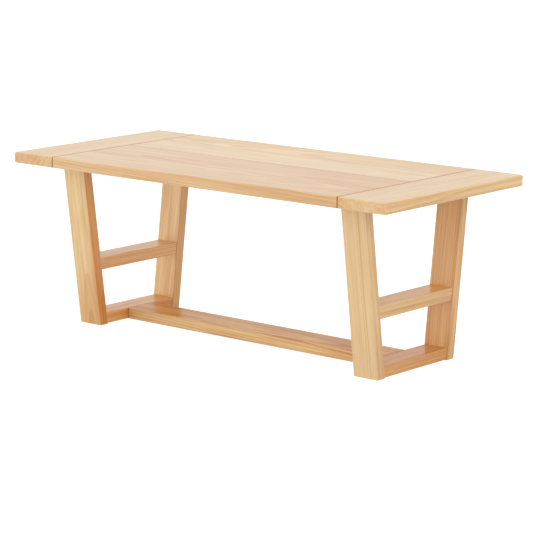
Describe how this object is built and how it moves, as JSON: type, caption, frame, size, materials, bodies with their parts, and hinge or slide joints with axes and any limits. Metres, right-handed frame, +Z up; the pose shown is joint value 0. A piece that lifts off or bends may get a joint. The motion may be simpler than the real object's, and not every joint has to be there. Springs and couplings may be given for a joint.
{
  "type": "communion table",
  "caption": "Long rectangular solid timber table with breadboard ends, standing on two splayed plank-leg frames joined by a low flat stretcher.",
  "frame": {"origin": "on the floor under the middle of the table", "axes": "+X along the table's length from left to right, +Y from the front long edge to the back one, +Z up"},
  "size_m": [2, 0.9, 0.75],
  "materials": {
    "top_wood": "clear matt oil on pale straight-grained hardwood",
    "frame_wood": "clear matt oil on pale straight-grained hardwood, a little warmer than the top",
    "dowel_wood": "bare turned beech",
    "zinc_steel": "bright zinc plate",
    "glide_nylon": "brown nylon"
  },
  "bodies": {
    "root": {"top_board_1": "top_wood", "top_board_2": "top_wood", "top_board_3": "top_wood", "top_board_4": "top_wood", "breadboard_left": "top_wood", "breadboard_right": "top_wood", "leg_left_front": "frame_wood", "leg_left_back": "frame_wood", "leg_right_front": "frame_wood", "leg_right_back": "frame_wood", "mid_rail_left": "frame_wood", "mid_rail_right": "frame_wood", "foot_rail_left": "frame_wood", "foot_rail_right": "frame_wood", "bearer_left": "frame_wood", "bearer_right": "frame_wood", "stretcher": "frame_wood", "board_edge_dowels": "dowel_wood", "breadboard_pegs": "dowel_wood", "stretcher_dowels": "dowel_wood", "stretcher_bolts": "zinc_steel", "stretcher_bolt_nuts": "zinc_steel", "stretcher_bolt_plates": "zinc_steel", "top_fixing_screws": "zinc_steel", "top_fixing_washers": "zinc_steel", "foot_glides": "glide_nylon"}
  },
  "joints": []
}
